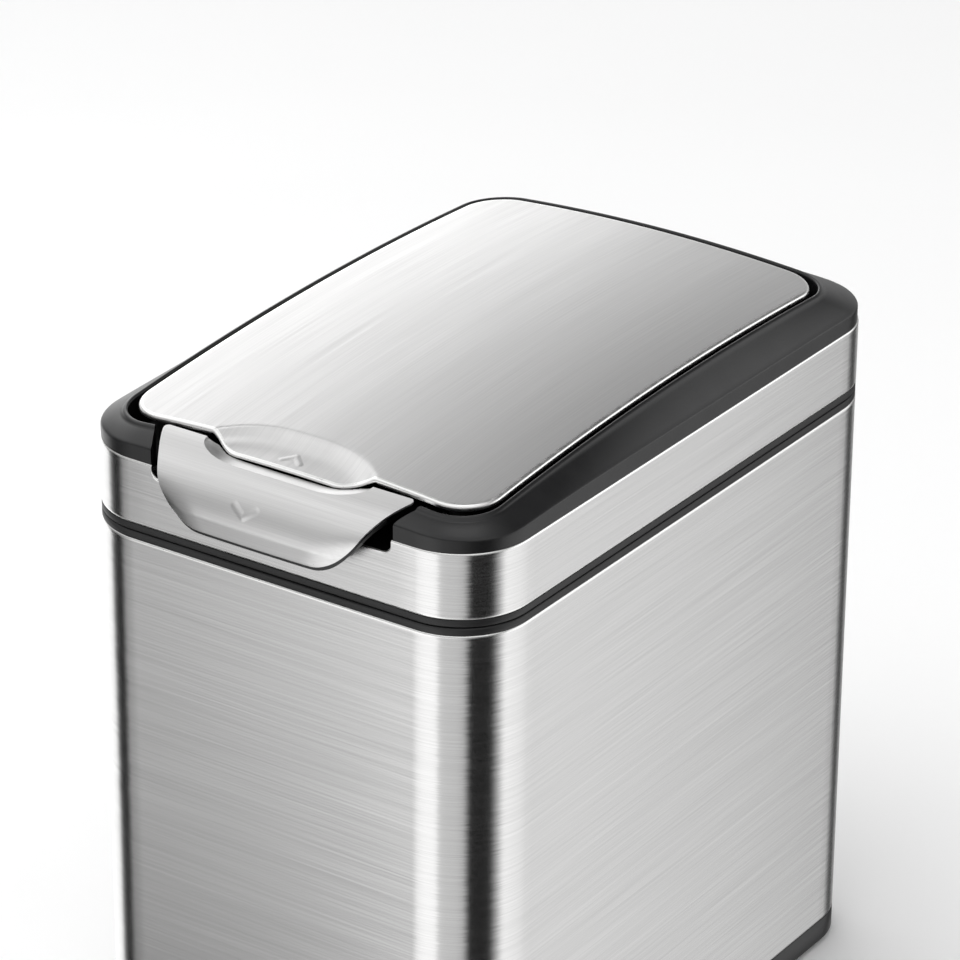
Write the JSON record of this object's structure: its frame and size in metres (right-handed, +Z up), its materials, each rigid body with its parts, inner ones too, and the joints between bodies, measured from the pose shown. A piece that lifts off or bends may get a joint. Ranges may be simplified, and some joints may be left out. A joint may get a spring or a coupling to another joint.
{
  "type": "push top countertop bin",
  "caption": "Rounded rectangular countertop bin of brushed steel with a black plastic bezel, a hinged steel lid with a finger lip, a front push plate and a lift-out bucket.",
  "frame": {"origin": "centre of the whole footprint, push plate included, on the floor plane that the rubber feet stand on", "axes": "+X to the bin's right, -Y towards the push plate at the front, +Z up"},
  "size_m": [0.18, 0.2834, 0.2904],
  "materials": {
    "brushed_steel": "brushed, satin",
    "zinc_plated": "zinc plated",
    "rubber": "matte",
    "black_plastic": "fine matte texture",
    "bucket_plastic": "satin",
    "acetal": "plain"
  },
  "bodies": {
    "bin_body": {"base_tray": "black_plastic", "foot_front_left": "rubber", "foot_front_right": "rubber", "foot_rear_left": "rubber", "foot_rear_right": "rubber", "base_screws": "zinc_plated", "clinch_nuts": "zinc_plated", "body_sleeve": "brushed_steel", "sleeve_top_ring": "black_plastic"},
    "bucket": {"inner_bucket": "bucket_plastic"},
    "head": {"head_bottom_ring": "black_plastic", "head_band": "brushed_steel", "top_frame": "black_plastic", "head_screws": "zinc_plated", "hinge_bracket_left": "zinc_plated", "hinge_bracket_right": "zinc_plated", "bracket_screws": "zinc_plated", "hinge_pin": "zinc_plated", "hinge_spring_left": "zinc_plated", "hinge_spring_right": "zinc_plated", "damper_housing": "black_plastic", "damper_screws": "zinc_plated", "lid_bumper_left": "rubber", "lid_bumper_right": "rubber", "lever_bracket_left": "black_plastic", "lever_bracket_right": "black_plastic", "lever_bracket_screws": "zinc_plated", "lever_pin": "zinc_plated", "lever_spring_left": "zinc_plated", "lever_spring_right": "zinc_plated"},
    "lid": {"lid_skin": "brushed_steel", "lid_liner": "black_plastic", "hinge_arm_left": "zinc_plated", "hinge_arm_right": "zinc_plated", "arm_screws": "zinc_plated", "damper_sector": "black_plastic", "striker_plate": "brushed_steel", "striker_screws": "zinc_plated"},
    "push_lever": {"push_plate": "brushed_steel", "lever_frame": "black_plastic", "catch_magnet": "zinc_plated"},
    "damper_gear": {"damper_pinion": "acetal"}
  },
  "joints": [
    {"name": "head_lift", "type": "slide", "parent": "bin_body", "child": "head", "axis": [0, 0, 1], "range_m": [0, 0.32]},
    {"name": "bucket_lift", "type": "slide", "parent": "bin_body", "child": "bucket", "axis": [0, 0, 1], "range_m": [0, 0.256]},
    {"name": "lid_hinge", "type": "hinge", "parent": "head", "child": "lid", "pos_m": [0, 0.1138, 0.2833], "axis": [-1, 0, 0], "range_deg": [0, 80]},
    {"name": "damper_spin", "type": "hinge", "parent": "head", "child": "damper_gear", "pos_m": [0.0015, 0.10645, 0.27595], "axis": [1, 0, 0], "range_deg": [0, 130]},
    {"name": "push_press", "type": "hinge", "parent": "head", "child": "push_lever", "pos_m": [0, -0.0983, 0.2644], "axis": [1, 0, 0], "range_deg": [0, 8], "stiffness_Nm_per_rad": 0.5, "springref_deg": -8.59, "deforming": ["lever_spring_left", "lever_spring_right"]}
  ],
  "couplings": [
    {"joint": "bucket_lift", "follows": "head_lift", "ratio": 0.8},
    {"joint": "damper_spin", "follows": "lid_hinge", "ratio": 1.6}
  ]
}
